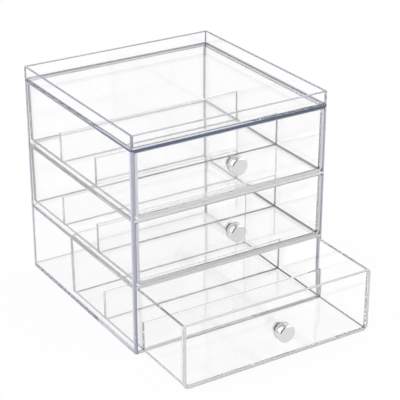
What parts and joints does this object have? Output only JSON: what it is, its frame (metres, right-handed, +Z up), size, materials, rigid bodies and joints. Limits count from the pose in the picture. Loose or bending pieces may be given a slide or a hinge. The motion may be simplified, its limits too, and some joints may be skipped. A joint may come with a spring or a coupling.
{
  "type": "mini chest of drawers",
  "caption": "Clear plastic tabletop chest with stacked sliding drawers, low dividers, round metal knobs and a rimmed tray on top.",
  "frame": {"origin": "middle of the casing's underside, where the chest stands", "axes": "+Z up, -Y towards the front that the drawers open from, +X to the right as seen from the front"},
  "size_m": [0.17, 0.247, 0.176],
  "materials": {
    "clear_plastic": "clear polished",
    "knob_chrome": "polished, face satin",
    "screw_steel": "zinc plated"
  },
  "bodies": {
    "chest": {"casing": "clear_plastic", "top_tray": "clear_plastic", "upper_shelf": "clear_plastic", "lower_shelf": "clear_plastic"},
    "top_drawer": {"top_drawer": "clear_plastic", "top_knob": "knob_chrome", "top_knob_screw": "screw_steel", "top_knob_washer": "screw_steel"},
    "middle_drawer": {"middle_drawer": "clear_plastic", "middle_knob": "knob_chrome", "middle_knob_screw": "screw_steel", "middle_knob_washer": "screw_steel"},
    "bottom_drawer": {"bottom_drawer": "clear_plastic", "bottom_knob": "knob_chrome", "bottom_knob_screw": "screw_steel", "bottom_knob_washer": "screw_steel"}
  },
  "joints": [
    {"name": "top_drawer_slide", "type": "slide", "parent": "chest", "child": "top_drawer", "axis": [0, -1, 0], "range_m": [0, 0.13]},
    {"name": "middle_drawer_slide", "type": "slide", "parent": "chest", "child": "middle_drawer", "axis": [0, -1, 0], "range_m": [0, 0.13]},
    {"name": "bottom_drawer_slide", "type": "slide", "parent": "chest", "child": "bottom_drawer", "axis": [0, -1, 0], "range_m": [-0.065, 0.065]}
  ]
}
